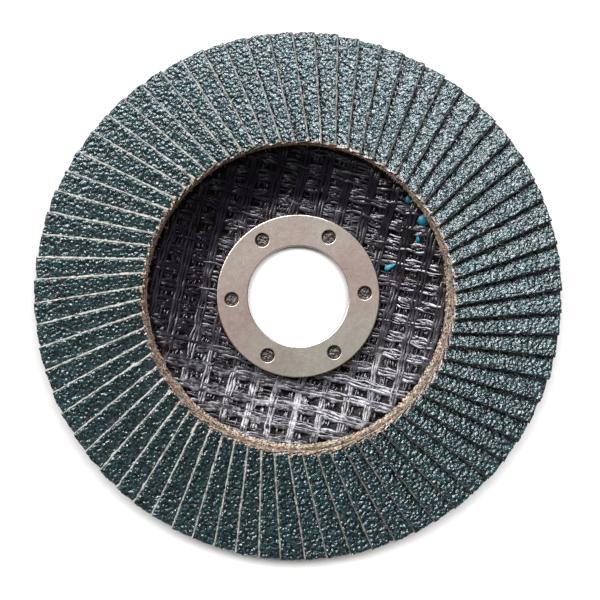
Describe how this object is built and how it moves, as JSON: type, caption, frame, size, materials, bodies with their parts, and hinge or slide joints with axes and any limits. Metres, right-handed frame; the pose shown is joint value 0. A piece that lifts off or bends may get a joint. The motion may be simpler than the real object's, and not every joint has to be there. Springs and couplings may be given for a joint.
{
  "type": "flap disc",
  "caption": "Angle grinder flap disc with shingled blue green abrasive cloth flaps, a depressed centre backing plate of woven glass and resin, and a steel centre ring.",
  "frame": {"origin": "on the bore's axis, at the hub's rear clamping face", "axes": "+Z along the bore, out of the abrasive side; the free edges of the flaps face clockwise seen from +Z"},
  "size_m": [0.115, 0.115, 0.0139],
  "materials": {
    "abrasive_cloth": "matte",
    "glass_resin": "satin",
    "plated_steel": "satin",
    "glue": "satin"
  },
  "bodies": {
    "root": {"backing_plate": "glass_resin", "centre_ring": "plated_steel", "adhesive_bed": "glue", "flaps_01_to_03": "abrasive_cloth", "flaps_04_to_06": "abrasive_cloth", "flaps_07_to_09": "abrasive_cloth", "flaps_10_to_12": "abrasive_cloth", "flaps_13_to_15": "abrasive_cloth", "flaps_16_to_18": "abrasive_cloth", "flaps_19_to_21": "abrasive_cloth", "flaps_22_to_24": "abrasive_cloth", "flaps_25_to_27": "abrasive_cloth", "flaps_28_to_30": "abrasive_cloth", "flaps_31_to_33": "abrasive_cloth", "flaps_34_to_36": "abrasive_cloth", "flaps_37_to_39": "abrasive_cloth", "flaps_40_to_42": "abrasive_cloth", "flaps_43_to_45": "abrasive_cloth", "flaps_46_to_48": "abrasive_cloth", "flaps_49_to_51": "abrasive_cloth", "flaps_52_to_54": "abrasive_cloth", "flaps_55_to_57": "abrasive_cloth", "flaps_58_to_60": "abrasive_cloth", "flaps_61_to_63": "abrasive_cloth", "flaps_64_to_66": "abrasive_cloth", "flaps_67_to_69": "abrasive_cloth", "flaps_70_to_72": "abrasive_cloth"}
  },
  "joints": []
}
